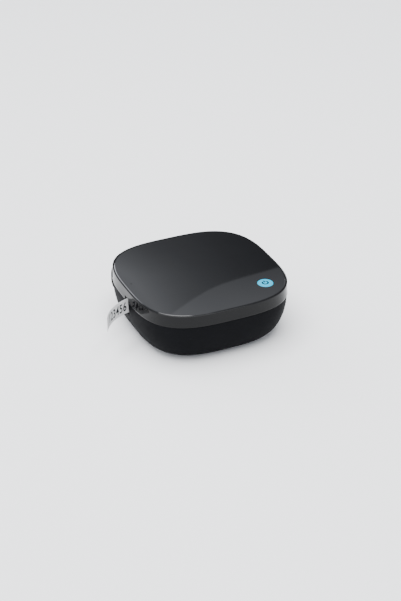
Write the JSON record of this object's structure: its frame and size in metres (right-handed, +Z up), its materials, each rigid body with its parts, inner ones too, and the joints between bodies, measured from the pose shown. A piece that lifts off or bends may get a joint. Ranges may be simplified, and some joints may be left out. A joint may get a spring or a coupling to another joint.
{
  "type": "label maker",
  "caption": "Compact square desktop label maker with a hinged glossy lid, lit power button, cutter button and a side slot for upright label tape.",
  "frame": {"origin": "middle of the base on the plane that the feet rest on; the underside stands 0.8 mm above it", "axes": "+Z up, -Y towards the front, -X towards the side that the label leaves"},
  "size_m": [0.1403, 0.1176, 0.0421],
  "materials": {
    "base_black": "fine matt grain",
    "foot_rubber": "matt",
    "deck_plastic": "moulded matt",
    "inner_plastic": "fine matt grain",
    "lid_gloss": "polished",
    "panel_gloss": "polished",
    "button_cyan": "satin, lit from below",
    "symbol_teal": "satin",
    "clear_plastic": "clear",
    "cutter_black": "fine matt grain",
    "white_plastic": "moulded satin",
    "steel": "turned",
    "screw_steel": "zinc plated",
    "spring_steel": "drawn wire",
    "blade_steel": "ground",
    "motor_can": "plated",
    "pinion_brass": "machined",
    "platen_rubber": "ground matt",
    "head_aluminium": "extruded",
    "head_ceramic": "glazed stripe",
    "flex_amber": "polyimide film",
    "cell_jacket": "printed foil",
    "cassette_grey": "moulded satin",
    "cassette_light": "moulded satin",
    "core_grey": "moulded satin",
    "label_paper": "thermal coated",
    "board_green": "solder mask",
    "chip_black": "moulded",
    "shield_can": "tinned",
    "led_white": "clear lens",
    "connector_ivory": "moulded"
  },
  "bodies": {
    "root": {"base_shell": "base_black", "rubber_feet": "foot_rubber", "chassis": "deck_plastic", "chassis_screws": "screw_steel", "inner_cover": "inner_plastic", "cassette_well": "inner_plastic", "cover_screws": "screw_steel", "aa_batteries": "cell_jacket", "battery_springs": "spring_steel", "battery_contacts": "steel", "step_motor": "motor_can", "motor_screws": "screw_steel", "idler_axles": "steel", "gear_plate": "steel", "gear_plate_screws": "screw_steel", "head_spring": "spring_steel", "head_flex": "flex_amber", "outlet_guide": "inner_plastic", "cutter_spring": "spring_steel", "cassette_body": "cassette_grey", "cassette_cover": "cassette_light", "tape_strand": "label_paper", "printed_label": "label_paper", "main_board": "board_green", "board_screws": "screw_steel", "processor_chip": "chip_black", "radio_module": "shield_can", "tact_switch": "chip_black", "power_led": "led_white", "board_connectors": "connector_ivory", "hinge_pins": "steel"},
    "battery_cover": {"battery_cover": "base_black"},
    "lid": {"lid_shell": "lid_gloss", "top_panel": "panel_gloss", "button_spring": "spring_steel"},
    "power_button": {"button_cap": "button_cyan", "power_symbol": "symbol_teal", "light_guide": "clear_plastic", "button_clip": "steel"},
    "cutter_button": {"cutter_button": "cutter_black"},
    "cutter_carriage": {"cutter_carriage": "white_plastic", "cutter_blade": "blade_steel", "blade_rivets": "screw_steel"},
    "print_head": {"head_carrier": "head_aluminium", "thermal_head": "head_ceramic"},
    "motor_rotor": {"motor_shaft": "steel", "drive_pinion": "pinion_brass"},
    "stepped_idler": {"stepped_idler": "white_plastic"},
    "plain_idler": {"plain_idler": "white_plastic"},
    "platen": {"platen_gear": "white_plastic", "platen_shaft": "steel", "platen_roller": "platen_rubber"},
    "tape_spool": {"tape_core": "core_grey", "tape_roll": "label_paper"}
  },
  "joints": [
    {"name": "lid_hinge", "type": "hinge", "parent": "root", "child": "lid", "pos_m": [0, 0.0573, 0.0319], "axis": [-1, 0, 0], "range_deg": [0, 95]},
    {"name": "power_press", "type": "slide", "parent": "lid", "child": "power_button", "axis": [0, 0, -1], "range_m": [0, 0.0008], "stiffness_N_per_m": 300, "springref_m": -0.0006, "deforming": ["button_spring"]},
    {"name": "battery_cover_release", "type": "slide", "parent": "root", "child": "battery_cover", "axis": [0, 0, -1], "range_m": [0, 0.015]},
    {"name": "cutter_press", "type": "slide", "parent": "root", "child": "cutter_button", "axis": [1, 0, 0], "range_m": [0, 0.0024], "stiffness_N_per_m": 300, "springref_m": -0.0008, "deforming": ["cutter_spring"]},
    {"name": "blade_slide", "type": "slide", "parent": "root", "child": "cutter_carriage", "axis": [0, -1, 0], "range_m": [0, 0.00401]},
    {"name": "head_retract", "type": "slide", "parent": "root", "child": "print_head", "axis": [0, -1, 0], "range_m": [0, 0.00121], "deforming": ["head_spring"]},
    {"name": "platen_spin", "type": "hinge", "parent": "root", "child": "platen", "pos_m": [-0.043, 0.0025, 0.013], "axis": [0, 0, 1], "continuous": true},
    {"name": "plain_idler_spin", "type": "hinge", "parent": "root", "child": "plain_idler", "pos_m": [-0.04568, -0.00971, 0.013], "axis": [0, 0, 1], "continuous": true},
    {"name": "stepped_idler_spin", "type": "hinge", "parent": "root", "child": "stepped_idler", "pos_m": [-0.04091, -0.01734, 0.013], "axis": [0, 0, 1], "continuous": true},
    {"name": "motor_spin", "type": "hinge", "parent": "root", "child": "motor_rotor", "pos_m": [-0.0435, -0.027, 0.016], "axis": [0, 0, 1], "continuous": true},
    {"name": "spool_spin", "type": "hinge", "parent": "root", "child": "tape_spool", "pos_m": [0.006, -0.001, 0.022], "axis": [0, 0, 1], "continuous": true}
  ],
  "couplings": [
    {"joint": "blade_slide", "follows": "cutter_press", "ratio": 1.6667},
    {"joint": "head_retract", "follows": "lid_hinge", "m_per_rad": 0.000724},
    {"joint": "plain_idler_spin", "follows": "platen_spin", "ratio": -1.0833},
    {"joint": "stepped_idler_spin", "follows": "platen_spin", "ratio": 2.1667},
    {"joint": "motor_spin", "follows": "platen_spin", "ratio": -6.5},
    {"joint": "spool_spin", "follows": "platen_spin", "ratio": 0.23226}
  ]
}
